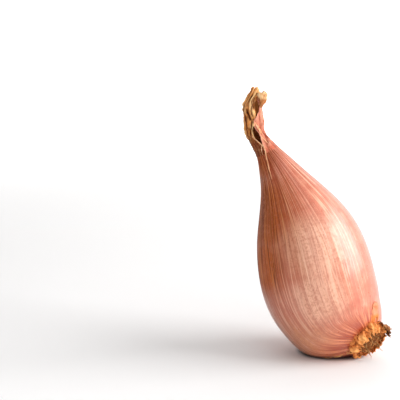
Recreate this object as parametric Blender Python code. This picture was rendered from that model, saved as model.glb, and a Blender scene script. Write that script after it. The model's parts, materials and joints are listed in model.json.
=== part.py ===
"""One long shallot, in metres with +Z up.

The bulb leans to the left (-X) and a little back (+Y). It stands on a small flat spot at
z = 0 whose middle is the origin. Its root end points down to the right and forwards, and
dried leaf strips stand above the pinched neck.
"""

import math

import bmesh
import bpy
from mathutils import Matrix, Vector

MM = 0.001
GAP = 0.3 * MM  # between pieces that touch on the real thing
SHARP_ANGLE = 50  # degrees; edges sharper than this aren't shaded smooth

# Bulb: x, y, z and half width in millimetres, then lean and pitch of the section in degrees.
# Lean turns the growing axis to the left, pitch turns it back. From root end to neck.
BULB_STATIONS = [
    (10.8, -10.2, 7.0, 4.2, 50, 42),
    (9.3, -8.7, 7.3, 8.3, 47, 36),
    (6.5, -6.5, 8.1, 12.4, 43, 28),
    (3.3, -4.1, 10.0, 15.3, 38, 20),
    (0.3, -2.2, 13.8, 17.4, 32, 13),
    (-3.0, -1.0, 19.8, 18.9, 27, 10),
    (-5.6, 0.0, 27.0, 19.3, 22, 9),
    (-7.7, 1.2, 34.8, 18.4, 19, 9),
    (-10.1, 2.5, 42.7, 16.2, 19.5, 9),
    (-13.1, 3.7, 50.2, 12.4, 22, 9),
    (-16.5, 4.8, 57.5, 8.2, 25, 9),
    (-19.6, 5.8, 63.3, 5.5, 27, 9),
    (-22.0, 6.5, 67.4, 3.7, 28, 9),
    (-23.6, 6.9, 70.0, 3.1, 29, 9),
]
RINGS_PER_STATION = 3
BULB_SIDES = 40
ROOT_DEPTH_RATIO = 1.07  # depth over width of a section at the root end
NECK_DEPTH_RATIO = 0.93  # and at the neck
SETTLE = 0.8 * MM  # how far the underside has settled at the floor
SETTLE_HEIGHT = 4.5 * MM  # height over which that fades out
NECK_DOME = 0.5 * MM

# Root plate and roots, about the axis of the root end
PLATE_RADIUS = 3.5 * MM
PLATE_OUTER_RADIUS = 3.15 * MM
PLATE_THICKNESS = 1.2 * MM
PLATE_SIDES = 24
PLATE_BEVEL = 0.3 * MM
# Turn in degrees, distance from the middle of the plate and length in millimetres
ROOTS = [
    (22, 1.2, 1.8),
    (94, 1.5, 2.2),
    (166, 1.9, 1.8),
    (238, 1.2, 2.2),
    (310, 1.5, 1.8),
]
ROOT_RADIUS = 0.45 * MM
ROOT_TIP = 0.55  # tip radius over foot radius
ROOT_SPLAY = 0.35  # sideways travel over length
ROOT_LIFT = 0.15 * MM  # keeps the slanting foot of a root clear of the plate
ROOT_POINTS = 4

# Collar: torn skin round the root end. Angle 0 is up to the right, 270 faces forwards.
# Name, first and last angle in degrees, start and length in millimetres along the axis, and
# flare (outward travel over length). The right flap is darker than the others.
COLLAR_FLAPS = [
    ("collar_flap_left", 214, 262, 0.0, 2.6, 0.18),
    ("collar_flap_front", 269, 312, -0.3, 3.2, 0.12),
    ("collar_flap_upper", 319, 362, -0.3, 3.4, 0.12),
    ("collar_flap_right", 370, 406, -0.2, 4.0, 0.50),
    ("collar_flap_back", 54, 110, 0.2, 2.2, 0.15),
    ("collar_flap_under", 120, 204, 0.3, 0.7, 0.0),
]
COLLAR_RADIUS = 6.0 * MM
COLLAR_THICKNESS = 0.6 * MM
COLLAR_CRUMPLE = 0.18 * MM
COLLAR_FOLDS = 14  # folds round the whole collar
COLLAR_ROWS = 5
COLLAR_COLUMNS = 8

# Remnants of outer skin on the bulb: the tongue above the collar and the sliver below the
# neck. Name, first and last station, first and last angle, rows and columns.
SKIN_PATCHES = [
    ("skin_tongue", 0.75, 2.2, 342, 362, 7, 5),
    ("neck_sliver", 12.1, 12.95, 282, 306, 5, 4),
]
PATCH_THICKNESS = 0.5 * MM
PATCH_TIP = 0.3  # width at the far end over width at the foot

# Torn skin hanging from the underside to just above the floor
FRINGE_FROM = -3.0 * MM
FRINGE_TO = 4.5 * MM
FRINGE_HEIGHT = 2.2 * MM
FRINGE_FOOT = 0.4 * MM
FRINGE_THICKNESS = 0.5 * MM
FRINGE_SLANT = 0.1  # forward travel over height
FRINGE_ROWS = 4
FRINGE_COLUMNS = 9
AHEAD_OF_BULB = -60 * MM

# Neck leaves: x, y, z, half width and half depth in millimetres, from pinch to tip
NECK_STATIONS = [
    (-23.9, 7.1, 71.0, 3.1, 2.7),
    (-24.9, 7.4, 73.2, 3.2, 2.5),
    (-26.0, 7.7, 76.2, 3.3, 2.4),
    (-26.5, 7.9, 79.6, 3.3, 2.3),
    (-26.8, 8.1, 83.0, 3.1, 2.2),
    (-26.8, 8.2, 86.0, 2.8, 2.0),
    (-26.4, 8.2, 88.6, 1.7, 1.4),
]
NECK_STEP = 0.05  # part of a station over which the neck's direction is measured
LEAF_THICKNESS = 0.6 * MM
LEAF_ROWS = 10
LEAF_COLUMNS = 9
HOOK_POINTS = [
    (-24.6, 9.4, 81.6),
    (-24.3, 8.9, 84.4),
    (-23.8, 8.0, 86.4),
    (-22.9, 7.0, 86.5),
    (-22.7, 6.2, 85.0),
    (-23.4, 5.6, 82.9),
]
HOOK_WIDTH = 2.2 * MM
HOOK_TIP = 0.4  # width at the tip over width at the foot
HOOK_THICKNESS = 0.6 * MM
HOOK_ACROSS = (0.55, -0.8, 0.25)  # direction across the strip
HOOK_ROWS = 11
HOOK_COLUMNS = 4

# Colour, roughness
COPPER_SKIN = ("copper_skin", (0.62, 0.27, 0.17, 1), 0.38)
CORKY_ROOT = ("corky_root", (0.36, 0.18, 0.08, 1), 0.85)
DRY_HUSK = ("dry_husk", (0.68, 0.43, 0.20, 1), 0.6)
DARK_HUSK = ("dark_husk", (0.20, 0.09, 0.04, 1), 0.7)

# Name, first and last station, angles at the foot, angles at the tip, share of the neck's
# radius, finish
NECK_LEAVES = [
    ("neck_leaf_left", 0.0, 6.0, (100, 258), (150, 285), 1.0, DRY_HUSK),
    ("neck_leaf_right", 0.0, 2.9, (-70, 80), (-30, 40), 1.0, COPPER_SKIN),
    ("neck_leaf_back", 0.2, 4.6, (25, 205), (60, 190), 0.62, DARK_HUSK),
]


def clear_scene():
    for obj in list(bpy.data.objects):
        bpy.data.objects.remove(obj, do_unlink=True)


def through(values, place):
    """Value of a smooth curve through evenly spaced values, at a fractional place."""
    last = len(values) - 1
    place = min(max(place, 0.0), float(last))
    index = min(int(place), last - 1)
    f = place - index
    start, end = values[index], values[index + 1]
    before = values[index - 1] if index > 0 else 2 * start - end
    after = values[index + 2] if index < last - 1 else 2 * end - start
    linear = (end - before) * f
    square = (2 * before - 5 * start + 4 * end - after) * f**2
    cube = (3 * start - before - 3 * end + after) * f**3
    return 0.5 * (2 * start + linear + square + cube)


def row_at(table, place):
    """The numbers of a table of stations at a fractional place."""
    return [through(column, place) for column in zip(*table)]


def bulb_section(place):
    """Centre, growing axis, side and back directions, half width and half depth."""
    x, y, z, half_width, lean, pitch = row_at(BULB_STATIONS, place)
    lean = math.radians(lean)
    pitch = math.radians(pitch)
    level = math.cos(pitch)
    axis = Vector((-math.sin(lean) * level, math.sin(pitch), math.cos(lean) * level))
    side = Vector((math.cos(lean), 0, math.sin(lean)))
    share = place / (len(BULB_STATIONS) - 1)
    ratio = ROOT_DEPTH_RATIO + (NECK_DEPTH_RATIO - ROOT_DEPTH_RATIO) * share
    centre = Vector((x, y, z)) * MM
    return centre, axis, side, axis.cross(side), half_width * MM, half_width * ratio * MM


def settle(point):
    """The underside spreads a little where it rests."""
    height = max(point.z, 0.0)
    point.z -= SETTLE * math.exp(-((height / SETTLE_HEIGHT) ** 2))
    return point


def bulb_point(place, angle, lift=0.0):
    """A point of the bulb's surface, or lifted off it."""
    centre, axis, side, back, width, depth = bulb_section(place)
    turn = math.radians(angle)
    sideways = (width + lift) * math.cos(turn)
    backwards = (depth + lift) * math.sin(turn)
    return centre + sideways * side + backwards * back


def material(finish):
    name, colour, roughness = finish
    found = bpy.data.materials.get(name) or bpy.data.materials.new(name)
    found.use_nodes = True
    shader = found.node_tree.nodes["Principled BSDF"]
    shader.inputs["Base Color"].default_value = colour
    shader.inputs["Roughness"].default_value = roughness
    shader.inputs["Metallic"].default_value = 0
    found.diffuse_color = colour
    return found


def add_object(name, shape, finish):
    mesh = bpy.data.meshes.new(name)
    bmesh.ops.recalc_face_normals(shape, faces=shape.faces)
    shape.to_mesh(mesh)
    shape.free()
    mesh.shade_smooth()
    mesh.set_sharp_from_angle(angle=math.radians(SHARP_ANGLE))
    mesh.materials.append(material(finish))
    obj = bpy.data.objects.new(name, mesh)
    bpy.context.scene.collection.objects.link(obj)
    return obj


def loft(rings, closed=True):
    """A bmesh skin over rows of points; closed rows wrap round."""
    shape = bmesh.new()
    rows = [[shape.verts.new(point) for point in ring] for ring in rings]
    count = len(rows[0])
    for lower, upper in zip(rows, rows[1:]):
        for i in range(count if closed else count - 1):
            j = (i + 1) % count
            shape.faces.new((lower[i], lower[j], upper[j], upper[i]))
    return shape, rows


def fan(shape, row, tip):
    """Closes a row with triangles to one point."""
    top = shape.verts.new(tip)
    for i, vertex in enumerate(row):
        shape.faces.new((vertex, row[(i + 1) % len(row)], top))


def slab(near_rows, far_rows):
    """A closed thin plate between two grids of points of the same size."""
    shape, near = loft(near_rows, closed=False)
    far = [[shape.verts.new(point) for point in row] for row in far_rows]
    for lower, upper in zip(far, far[1:]):
        for i in range(len(lower) - 1):
            shape.faces.new((lower[i], lower[i + 1], upper[i + 1], upper[i]))

    def rim(grid):
        last = len(grid) - 1
        across = grid[0] + [row[-1] for row in grid[1:last]]
        return across + grid[last][::-1] + [row[0] for row in grid[last - 1 : 0 : -1]]

    near_rim, far_rim = rim(near), rim(far)
    for i in range(len(near_rim)):
        j = (i + 1) % len(near_rim)
        shape.faces.new((near_rim[i], near_rim[j], far_rim[j], far_rim[i]))
    return shape


def steps(first, last, count):
    return [first + (last - first) * i / (count - 1) for i in range(count)]


def build_bulb():
    last = len(BULB_STATIONS) - 1
    angles = [360 * i / BULB_SIDES for i in range(BULB_SIDES)]
    places = steps(0, last, last * RINGS_PER_STATION + 1)
    rings = [[settle(bulb_point(place, angle)) for angle in angles] for place in places]
    shape, rows = loft(rings)
    neck_centre, neck_axis = bulb_section(last)[:2]
    fan(shape, rows[0], bulb_section(0)[0])
    fan(shape, rows[-1], neck_centre + neck_axis * NECK_DOME)
    everything = shape.verts[:] + shape.edges[:] + shape.faces[:]
    cut = bmesh.ops.bisect_plane(shape, geom=everything, plane_no=(0, 0, 1), clear_inner=True)
    rim = [item for item in cut["geom_cut"] if isinstance(item, bmesh.types.BMEdge)]
    bmesh.ops.contextual_create(shape, geom=rim)
    return add_object("bulb", shape, COPPER_SKIN)


def root_frame():
    """Centre of the root end, its outward direction, and its side and back directions."""
    centre, axis, side, back = bulb_section(0)[:4]
    return centre, -axis, side, back


def build_root_plate():
    centre, outward, side, back = root_frame()
    turn = Matrix((side, -back, outward)).transposed().to_4x4()
    middle = centre + outward * (GAP + PLATE_THICKNESS / 2)
    shape = bmesh.new()
    bmesh.ops.create_cone(
        shape,
        cap_ends=True,
        segments=PLATE_SIDES,
        radius1=PLATE_RADIUS,
        radius2=PLATE_OUTER_RADIUS,
        depth=PLATE_THICKNESS,
        matrix=Matrix.Translation(middle) @ turn,
    )
    plate = add_object("root_plate", shape, CORKY_ROOT)
    bevel = plate.modifiers.new("rounded rim", "BEVEL")
    bevel.width = PLATE_BEVEL
    bevel.segments = 2
    bevel.limit_method = "ANGLE"


def build_roots():
    """Short dried root stubs, each a tapering curve that leans outwards."""
    centre, outward, side, back = root_frame()
    foot = centre + outward * (2 * GAP + PLATE_THICKNESS + ROOT_LIFT)
    for number, (turn, distance, length) in enumerate(ROOTS, start=1):
        turn = math.radians(turn)
        spread = math.cos(turn) * side + math.sin(turn) * back
        start = foot + spread * distance * MM
        curve = bpy.data.curves.new(f"root_{number}", "CURVE")
        curve.dimensions = "3D"
        curve.bevel_depth = ROOT_RADIUS
        curve.bevel_resolution = 2
        curve.use_fill_caps = True
        spline = curve.splines.new("POLY")
        spline.points.add(ROOT_POINTS - 1)
        for point, share in zip(spline.points, steps(0, 1, ROOT_POINTS)):
            sideways = spread * ROOT_SPLAY * share**2
            point.co = (*(start + length * MM * (outward * share + sideways)), 1)
            point.radius = 1 + (ROOT_TIP - 1) * share
        curve.materials.append(material(CORKY_ROOT))
        root = bpy.data.objects.new(f"root_{number}", curve)
        bpy.context.scene.collection.objects.link(root)


def collar_row(first, last, radius, along):
    """A row of points of the collar at one distance along the axis of the root end."""
    centre, outward, side, back = root_frame()
    row = []
    for angle in steps(first, last, COLLAR_COLUMNS):
        turn = math.radians(angle)
        crumple = COLLAR_CRUMPLE * math.sin(COLLAR_FOLDS * turn)
        spread = math.cos(turn) * side + math.sin(turn) * back
        row.append(centre + outward * along + (radius + crumple) * spread)
    return row


def build_collar():
    """Each flap is a patch of a flaring ring that leaves the root end."""
    for name, first, last, start, length, flare in COLLAR_FLAPS:
        grids = []
        for extra in (0.0, COLLAR_THICKNESS):
            grid = []
            for travel in steps(0, length * MM, COLLAR_ROWS):
                radius = COLLAR_RADIUS + flare * travel + extra
                grid.append(collar_row(first, last, radius, start * MM + travel))
            grids.append(grid)
        finish = DARK_HUSK if name == "collar_flap_right" else DRY_HUSK
        add_object(name, slab(*grids), finish)


def build_skin_patches():
    """Each remnant lies a gap's width off the bulb and narrows to its far end."""
    for name, near, far, first, last, rows, columns in SKIN_PATCHES:
        middle = (first + last) / 2
        grids = []
        for lift in (GAP, GAP + PATCH_THICKNESS):
            grid = []
            for share in steps(0, 1, rows):
                place = near + (far - near) * share
                half = (last - first) / 2 * (1 + (PATCH_TIP - 1) * share)
                angles = steps(middle - half, middle + half, columns)
                grid.append([bulb_point(place, angle, lift) for angle in angles])
            grids.append(grid)
        add_object(name, slab(*grids), DRY_HUSK)


def build_fringe(bulb):
    """Torn skin that hangs from the front of the underside, almost to the floor."""
    bpy.context.view_layer.update()
    grids = []
    for extra in (0.0, FRINGE_THICKNESS):
        grid = []
        for height in steps(FRINGE_HEIGHT, FRINGE_FOOT, FRINGE_ROWS):
            row = []
            for x in steps(FRINGE_FROM, FRINGE_TO, FRINGE_COLUMNS):
                ahead = Vector((x, AHEAD_OF_BULB, FRINGE_HEIGHT))
                surface = bulb.ray_cast(ahead, Vector((0, 1, 0)))[1]
                slant = FRINGE_SLANT * (FRINGE_HEIGHT - height)
                row.append(Vector((x, surface.y - 2 * GAP - slant - extra, height)))
            grid.append(row)
        grids.append(grid)
    add_object("skin_fringe", slab(*grids), DRY_HUSK)


def neck_point(place, angle, share, inset):
    """A point of the neck's oval tube; share scales it and inset moves it inwards."""
    x, y, z, width, depth = row_at(NECK_STATIONS, place)
    ahead = Vector(row_at(NECK_STATIONS, place + NECK_STEP)[:3])
    behind = Vector(row_at(NECK_STATIONS, place - NECK_STEP)[:3])
    axis = (ahead - behind).normalized()
    side = Vector((0, 1, 0)).cross(axis).normalized()
    back = axis.cross(side)
    turn = math.radians(angle)
    sideways = (width * MM * share - inset) * math.cos(turn)
    backwards = (depth * MM * share - inset) * math.sin(turn)
    return Vector((x, y, z)) * MM + sideways * side + backwards * back


def build_neck_leaves():
    """Each leaf is a strip of the neck's tube that ends higher or lower than the others."""
    for name, first, last, foot_angles, tip_angles, share, finish in NECK_LEAVES:
        places = steps(first, last, LEAF_ROWS)
        starts = steps(foot_angles[0], tip_angles[0], LEAF_ROWS)
        ends = steps(foot_angles[1], tip_angles[1], LEAF_ROWS)
        grids = []
        for inset in (0.0, LEAF_THICKNESS):
            grid = []
            for place, start, end in zip(places, starts, ends):
                angles = steps(start, end, LEAF_COLUMNS)
                grid.append([neck_point(place, angle, share, inset) for angle in angles])
            grids.append(grid)
        add_object(name, slab(*grids), finish)


def build_hook():
    """The tip of the inner leaf, which curls over to the right and forwards."""
    places = steps(0, len(HOOK_POINTS) - 1, HOOK_ROWS)
    path = [Vector(row_at(HOOK_POINTS, place)) * MM for place in places]
    grids = []
    for lift in (-HOOK_THICKNESS / 2, HOOK_THICKNESS / 2):
        grid = []
        for i, point in enumerate(path):
            ahead = path[min(i + 1, HOOK_ROWS - 1)]
            behind = path[max(i - 1, 0)]
            along = (ahead - behind).normalized()
            across = Vector(HOOK_ACROSS)
            across = (across - across.dot(along) * along).normalized()
            half = HOOK_WIDTH / 2 * (1 + (HOOK_TIP - 1) * (i / (HOOK_ROWS - 1)) ** 2)
            middle = point + along.cross(across) * lift
            grid.append([middle + across * reach for reach in steps(-half, half, HOOK_COLUMNS)])
        grids.append(grid)
    add_object("neck_hook", slab(*grids), DRY_HUSK)


def main():
    clear_scene()
    bulb = build_bulb()
    build_root_plate()
    build_roots()
    build_collar()
    build_skin_patches()
    build_fringe(bulb)
    build_neck_leaves()
    build_hook()


main()
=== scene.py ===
# %% [markdown]
# # A long shallot in its dry coppery skin
#
# A shallot is a bulb: fleshy leaf bases packed round each other, closed in dry skin. The skin
# is drawn together at the neck, where the dead leaves stand up as torn strips, and at the
# root plate, where roots once grew. This one leans on a small flat spot of its underside.
#
# The solid model is the frame. It holds every piece at its real size, and each cell below
# dresses or replaces some of its pieces with skin, husk and root that look like the real ones.

import json
import math

import bmesh
import bpy
import numpy as np
from mathutils import Matrix, Vector, noise


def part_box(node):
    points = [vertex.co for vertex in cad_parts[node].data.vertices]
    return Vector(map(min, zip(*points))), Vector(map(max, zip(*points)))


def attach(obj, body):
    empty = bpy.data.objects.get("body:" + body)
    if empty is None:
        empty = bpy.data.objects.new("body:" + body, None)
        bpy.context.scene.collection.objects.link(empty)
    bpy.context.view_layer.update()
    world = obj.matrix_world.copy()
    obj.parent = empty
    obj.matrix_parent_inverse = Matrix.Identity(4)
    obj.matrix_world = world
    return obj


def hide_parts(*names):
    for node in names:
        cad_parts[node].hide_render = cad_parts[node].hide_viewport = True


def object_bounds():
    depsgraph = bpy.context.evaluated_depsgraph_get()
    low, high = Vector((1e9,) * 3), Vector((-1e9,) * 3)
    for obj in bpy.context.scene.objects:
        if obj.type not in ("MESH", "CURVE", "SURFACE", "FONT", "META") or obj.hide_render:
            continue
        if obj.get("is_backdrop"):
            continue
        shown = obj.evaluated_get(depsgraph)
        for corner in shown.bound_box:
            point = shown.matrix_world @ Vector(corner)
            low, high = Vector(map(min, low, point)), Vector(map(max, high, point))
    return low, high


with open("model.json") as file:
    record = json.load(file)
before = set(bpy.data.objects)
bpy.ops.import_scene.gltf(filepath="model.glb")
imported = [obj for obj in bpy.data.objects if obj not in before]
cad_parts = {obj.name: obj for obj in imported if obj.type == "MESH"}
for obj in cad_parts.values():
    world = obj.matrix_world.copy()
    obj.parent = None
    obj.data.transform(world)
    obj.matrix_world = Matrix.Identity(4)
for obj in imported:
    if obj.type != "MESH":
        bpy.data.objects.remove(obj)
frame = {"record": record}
cad_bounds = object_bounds()
low, high = cad_bounds
tall = high.z - low.z
spot = Vector(frame["record"]["mounts"][0]["pos_m"])
bulb_low, bulb_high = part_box("bulb")
BULB_HEIGHT_MM = 71.55
MM = (bulb_high.z - bulb_low.z) / BULB_HEIGHT_MM
print(f"the shallot is {tall * 1000:.1f} mm tall; one millimetre of its bulb is {MM:.6f} m")

# %% [markdown]
# ## The table
#
# The shallot stands on pale paper that runs from under it up behind it. A flat plane would end
# in a horizon, so the far edge of a plane is extruded in small steps round a quarter turn.

# %% Sweep
FLOOR_HALF = 30 * tall
SWEEP_START = 9 * tall
SWEEP_RADIUS = 6 * tall
SWEEP_STEPS = 12


def deselect():
    """Leaves object mode with nothing selected."""
    if bpy.context.mode != "OBJECT":
        bpy.ops.object.mode_set(mode="OBJECT")
    bpy.ops.object.select_all(action="DESELECT")


def select_edges(piece, wanted):
    """Selects, in edit mode, only the edges that pass a test."""
    mesh = bmesh.from_edit_mesh(piece.data)
    for part in [*mesh.verts, *mesh.edges, *mesh.faces]:
        part.select = False
    for edge in mesh.edges:
        if wanted(edge):
            edge.select_set(True)
    bmesh.update_edit_mesh(piece.data)


def make_sweep():
    """A plane whose far edge is extruded in small steps round a quarter turn, then up."""
    deselect()
    bpy.ops.mesh.primitive_plane_add(size=1, location=(0, 0, 0))
    sweep = bpy.context.object
    sweep.name = "sweep"
    sweep.scale = (2 * FLOOR_HALF, SWEEP_START + FLOOR_HALF, 1)
    sweep.location.y = (SWEEP_START - FLOOR_HALF) / 2
    bpy.ops.object.transform_apply(location=True, rotation=True, scale=True)
    bpy.ops.object.mode_set(mode="EDIT")
    select_edges(sweep, lambda edge: all(vertex.co.y > 0 for vertex in edge.verts))
    turns = [math.radians(90 * i / SWEEP_STEPS) for i in range(SWEEP_STEPS + 1)]
    for before, after in zip(turns, turns[1:]):
        forward = SWEEP_RADIUS * (math.sin(after) - math.sin(before))
        up = SWEEP_RADIUS * (math.cos(before) - math.cos(after))
        bpy.ops.mesh.extrude_region_move(TRANSFORM_OT_translate={"value": (0, forward, up)})
    bpy.ops.mesh.extrude_region_move(TRANSFORM_OT_translate={"value": (0, 0, FLOOR_HALF)})
    bpy.ops.object.mode_set(mode="OBJECT")
    bpy.ops.object.shade_smooth()
    return sweep


sweep = make_sweep()
sweep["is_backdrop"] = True
print("sweep faces:", len(sweep.data.polygons))

# %% [markdown]
# ## The camera and the lights
#
# The camera looks from a little above through a long lens, so that the lean and the neck keep
# their true proportions. One wide soft light stands on the right: its reflection is the long
# bright window on the skin, where a small lamp would glitter along each vein. A weaker light
# in front keeps the belly bright, and one overhead softens the shadow. The backdrop is white to
# the camera only: a white world would light the left side as well, which has to stay brown.

# %% Camera
AIM = Vector((-0.5008, 0, 0.585)) * tall
DISTANCE = 4.49 * tall
ELEVATION = math.radians(10)
LENS = 108

camera = bpy.data.objects.new("camera", bpy.data.cameras.new("camera"))
bpy.context.scene.collection.objects.link(camera)
camera.data.lens = LENS
camera.data.sensor_width = 36
camera.location = spot + AIM + DISTANCE * Vector((0, -math.cos(ELEVATION), math.sin(ELEVATION)))
camera.rotation_euler = (math.pi / 2 - ELEVATION, 0, 0)
bpy.context.scene.camera = camera
print("camera at", [round(value, 4) for value in camera.location])


# %% Lights
def soft_light(name, towards, distance, width, height, power):
    """A rectangular light that faces the middle of the shallot, measured in its heights."""
    data = bpy.data.lights.new(name, "AREA")
    data.shape = "RECTANGLE"
    data.size = width * tall
    data.size_y = height * tall
    data.energy = power
    light = bpy.data.objects.new(name, data)
    bpy.context.scene.collection.objects.link(light)
    aim = (low + high) / 2
    direction = Vector(towards).normalized()
    light.location = aim + direction * (distance * tall)
    light.rotation_euler = (-direction).to_track_quat("-Z", "Y").to_euler()
    return light


# Name, direction, distance, width and height, power
LIGHTS = [
    ("window", (0.90, -0.10, 0.46), 6.5, 5.6, 5.0, 4.9),
    ("overhead", (0.2, -0.35, 1.0), 9, 8, 8, 1.5),
    ("front", (0.22, -1.0, 0.42), 9, 11, 9, 3.2),
]
WORLD_LIGHT = 0.04
for row in LIGHTS:
    light = soft_light(*row)
    print(light.name, "light at", [round(value, 3) for value in light.location])

world = bpy.data.worlds.new("studio")
bpy.context.scene.world = world
world.use_nodes = True
backdrop = world.node_tree.nodes["Background"]
backdrop.inputs["Color"].default_value = (1, 1, 1, 1)
seen = world.node_tree.nodes.new("ShaderNodeLightPath").outputs["Is Camera Ray"]
strength = world.node_tree.nodes.new("ShaderNodeMapRange")
world.node_tree.links.new(seen, strength.inputs["Value"])
strength.inputs["To Min"].default_value = WORLD_LIGHT
strength.inputs["To Max"].default_value = 1.0
world.node_tree.links.new(strength.outputs["Result"], backdrop.inputs["Strength"])
bpy.context.scene.view_settings.view_transform = "Standard"


# %% [markdown]
# ## Working with shader nodes
#
# Every finish here is made of nodes. They could be placed and linked one by one, but then each
# finish would be pages long. Short helpers add a node, do arithmetic, mix two colours, turn a
# range of values into a share, and build and place a group that several finishes use.


# %% Node helpers
def feed(tree, made, inputs):
    """Gives each named input of a node a value or another node's output."""
    for name, value in inputs.items():
        if isinstance(value, bpy.types.NodeSocket):
            tree.links.new(value, made.inputs[name])
        else:
            made.inputs[name].default_value = value
    return made.outputs


def put(tree, kind, inputs=None, **settings):
    """Adds a shader node with its settings and inputs, and returns its outputs."""
    made = tree.nodes.new("ShaderNode" + kind)
    for name, value in settings.items():
        setattr(made, name, value)
    return feed(tree, made, inputs or {})


def reckon(tree, operation, *values):
    """One step of arithmetic on numbers or node outputs."""
    return put(tree, "Math", dict(enumerate(values)), operation=operation)[0]


def mixed(tree, share, first, second):
    """A colour between two colours."""
    return put(tree, "Mix", {0: share, 6: first, 7: second}, data_type="RGBA")[2]


def fade(tree, value, start, end):
    """0 where the value is at start, 1 where it is at end, and smooth between."""
    inputs = {"Value": value, "From Min": start, "From Max": end}
    return put(tree, "MapRange", inputs, interpolation_type="SMOOTHSTEP")["Result"]


def new_group(name, inputs, outputs):
    """An empty shader node group with its sockets, and its own input and output nodes."""
    group = bpy.data.node_groups.new(name, "ShaderNodeTree")
    for label, kind, value in inputs:
        socket = group.interface.new_socket(label, in_out="INPUT", socket_type="NodeSocket" + kind)
        socket.default_value = value
    for label, kind in outputs:
        group.interface.new_socket(label, in_out="OUTPUT", socket_type="NodeSocket" + kind)
    into = group.nodes.new("NodeGroupInput").outputs
    out = group.nodes.new("NodeGroupOutput").inputs
    return group, into, out


def use_group(tree, group, inputs):
    """Places a node group in a material with its own values."""
    made = tree.nodes.new("ShaderNodeGroup")
    made.node_tree = group
    return feed(tree, made, inputs)


def new_material(name):
    """A material with a Principled BSDF; returns it, its nodes and its shader's inputs."""
    made = bpy.data.materials.new(name)
    made.use_nodes = True
    tree = made.node_tree
    return made, tree, tree.nodes["Principled BSDF"].inputs


# %% [markdown]
# ## The paper
#
# The paper is pale and slightly rough. Lit by three lights alone it would turn grey far away,
# and more light would burn out the skin, so its far parts glow by themselves instead. Right
# under the shallot a painted contact shadow colours it dark, for the thin contact line
# that soft light leaves out.

# %% Floor finish
FAR_GLOW = 0.42
EDGE_GLOW = 0.32
# Distances from the resting spot over which the painted contact shadow fades out
PAINTED_SHADOW_SPOT = (12.5 * MM, 8.5 * MM)


def make_floor_finish():
    """Paper with a faint tooth, a glow that grows away from the shallot and a painted contact shadow.
    """
    made, tree, shader = new_material("pale_paper")
    tooth = put(tree, "TexNoise", {"Scale": 900.0, "Detail": 3.0})["Fac"]
    bump = put(tree, "Bump", {"Height": tooth, "Strength": 0.05, "Distance": 0.0002})
    tree.links.new(bump["Normal"], shader["Normal"])
    point = put(tree, "TexCoord")["Object"]
    place = put(tree, "SeparateXYZ", {0: point})
    away = put(tree, "VectorMath", {0: point, 1: spot}, operation="DISTANCE")["Value"]
    shares = ((place["X"], -tall, 2 * tall, 0.10), (place["Z"], 0.5 * tall, 4 * tall, 0.08))
    glow = FAR_GLOW
    for way, start, end, share in shares:
        glow = reckon(tree, "MULTIPLY_ADD", fade(tree, way, start, end), share, glow)
    behind = fade(tree, place["Y"], 0.5 * tall, 8 * tall)
    around = fade(tree, away, 5 * tall, 14 * tall)
    glow = reckon(tree, "MULTIPLY", reckon(tree, "MAXIMUM", behind, around), glow)
    glow = reckon(tree, "MULTIPLY_ADD", fade(tree, away, 0.2 * tall, 1.5 * tall), 0.07, glow)
    glow = reckon(tree, "MULTIPLY_ADD", fade(tree, away, 3.5 * tall, 9 * tall), EDGE_GLOW, glow)
    # Painted shadow: the paper turns dark brown right under the shallot
    painted_contact_shadow = reckon(tree, "MULTIPLY", fade(tree, away, *PAINTED_SHADOW_SPOT), 0.9)
    paper = mixed(tree, painted_contact_shadow, (0.86, 0.85, 0.845, 1), (0.05, 0.014, 0.008, 1))
    tree.links.new(paper, shader["Base Color"])
    tree.links.new(glow, shader["Emission Strength"])
    shader["Emission Color"].default_value = (1, 1, 1, 1)
    shader["Roughness"].default_value = 0.75
    return made


sweep.data.materials.append(make_floor_finish())
print("the paper is dark within", round(PAINTED_SHADOW_SPOT[0] / MM, 1), "mm of the resting spot")

# %% [markdown]
# ## Grain
#
# Veins run from the root plate to the neck along every leaf, so each piece needs to know
# which way its leaf grew. Every new piece therefore carries an attribute named `grain`: its
# first two numbers say where a point is round the stem, and the third how far along it is
# from root to neck. Wide noise squeezed across the grain and stretched along it gives veins
# that close up at both ends by themselves, with no seam.


# %% Vein group
def make_vein_group():
    """Fine lines and wider bands that follow the grain."""
    group, into, out = new_group(
        "veins",
        [
            ("Grain", "Vector", (0, 0, 0)),
            ("Count", "Float", 24.0),
            ("Length", "Float", 1.5),
            ("Waver", "Float", 0.03),
            ("Line Width", "Float", 0.04),
        ],
        [("Lines", "Float"), ("Bands", "Float"), ("Height", "Float")],
    )
    wander = put(group, "TexNoise", {"Vector": into["Grain"], "Scale": 3.0, "Detail": 2.0})
    shift = put(group, "VectorMath", {0: wander["Color"], 1: (0.5, 0.5, 0.5)}, operation="SUBTRACT")
    scaled = put(group, "VectorMath", {0: shift[0], "Scale": into["Waver"]}, operation="SCALE")
    moved = put(group, "VectorMath", {0: into["Grain"], 1: scaled[0]}, operation="ADD")
    stretch = put(group, "CombineXYZ", {0: into["Count"], 1: into["Count"], 2: into["Length"]})
    place = put(group, "VectorMath", {0: moved[0], 1: stretch[0]}, operation="MULTIPLY")
    fine = put(group, "TexNoise", {"Vector": place[0], "Scale": 1.0, "Detail": 1.0})["Fac"]
    off = reckon(group, "ABSOLUTE", reckon(group, "SUBTRACT", fine, 0.5))
    lines = fade(group, off, into["Line Width"], 0.0)
    wide = put(group, "TexNoise", {"Vector": place[0], "Scale": 0.37, "Detail": 3.0})["Fac"]
    group.links.new(lines, out["Lines"])
    group.links.new(fade(group, wide, 0.36, 0.64), out["Bands"])
    height = reckon(group, "ADD", reckon(group, "MULTIPLY", lines, 0.4), fine)
    group.links.new(height, out["Height"])
    return group


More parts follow.
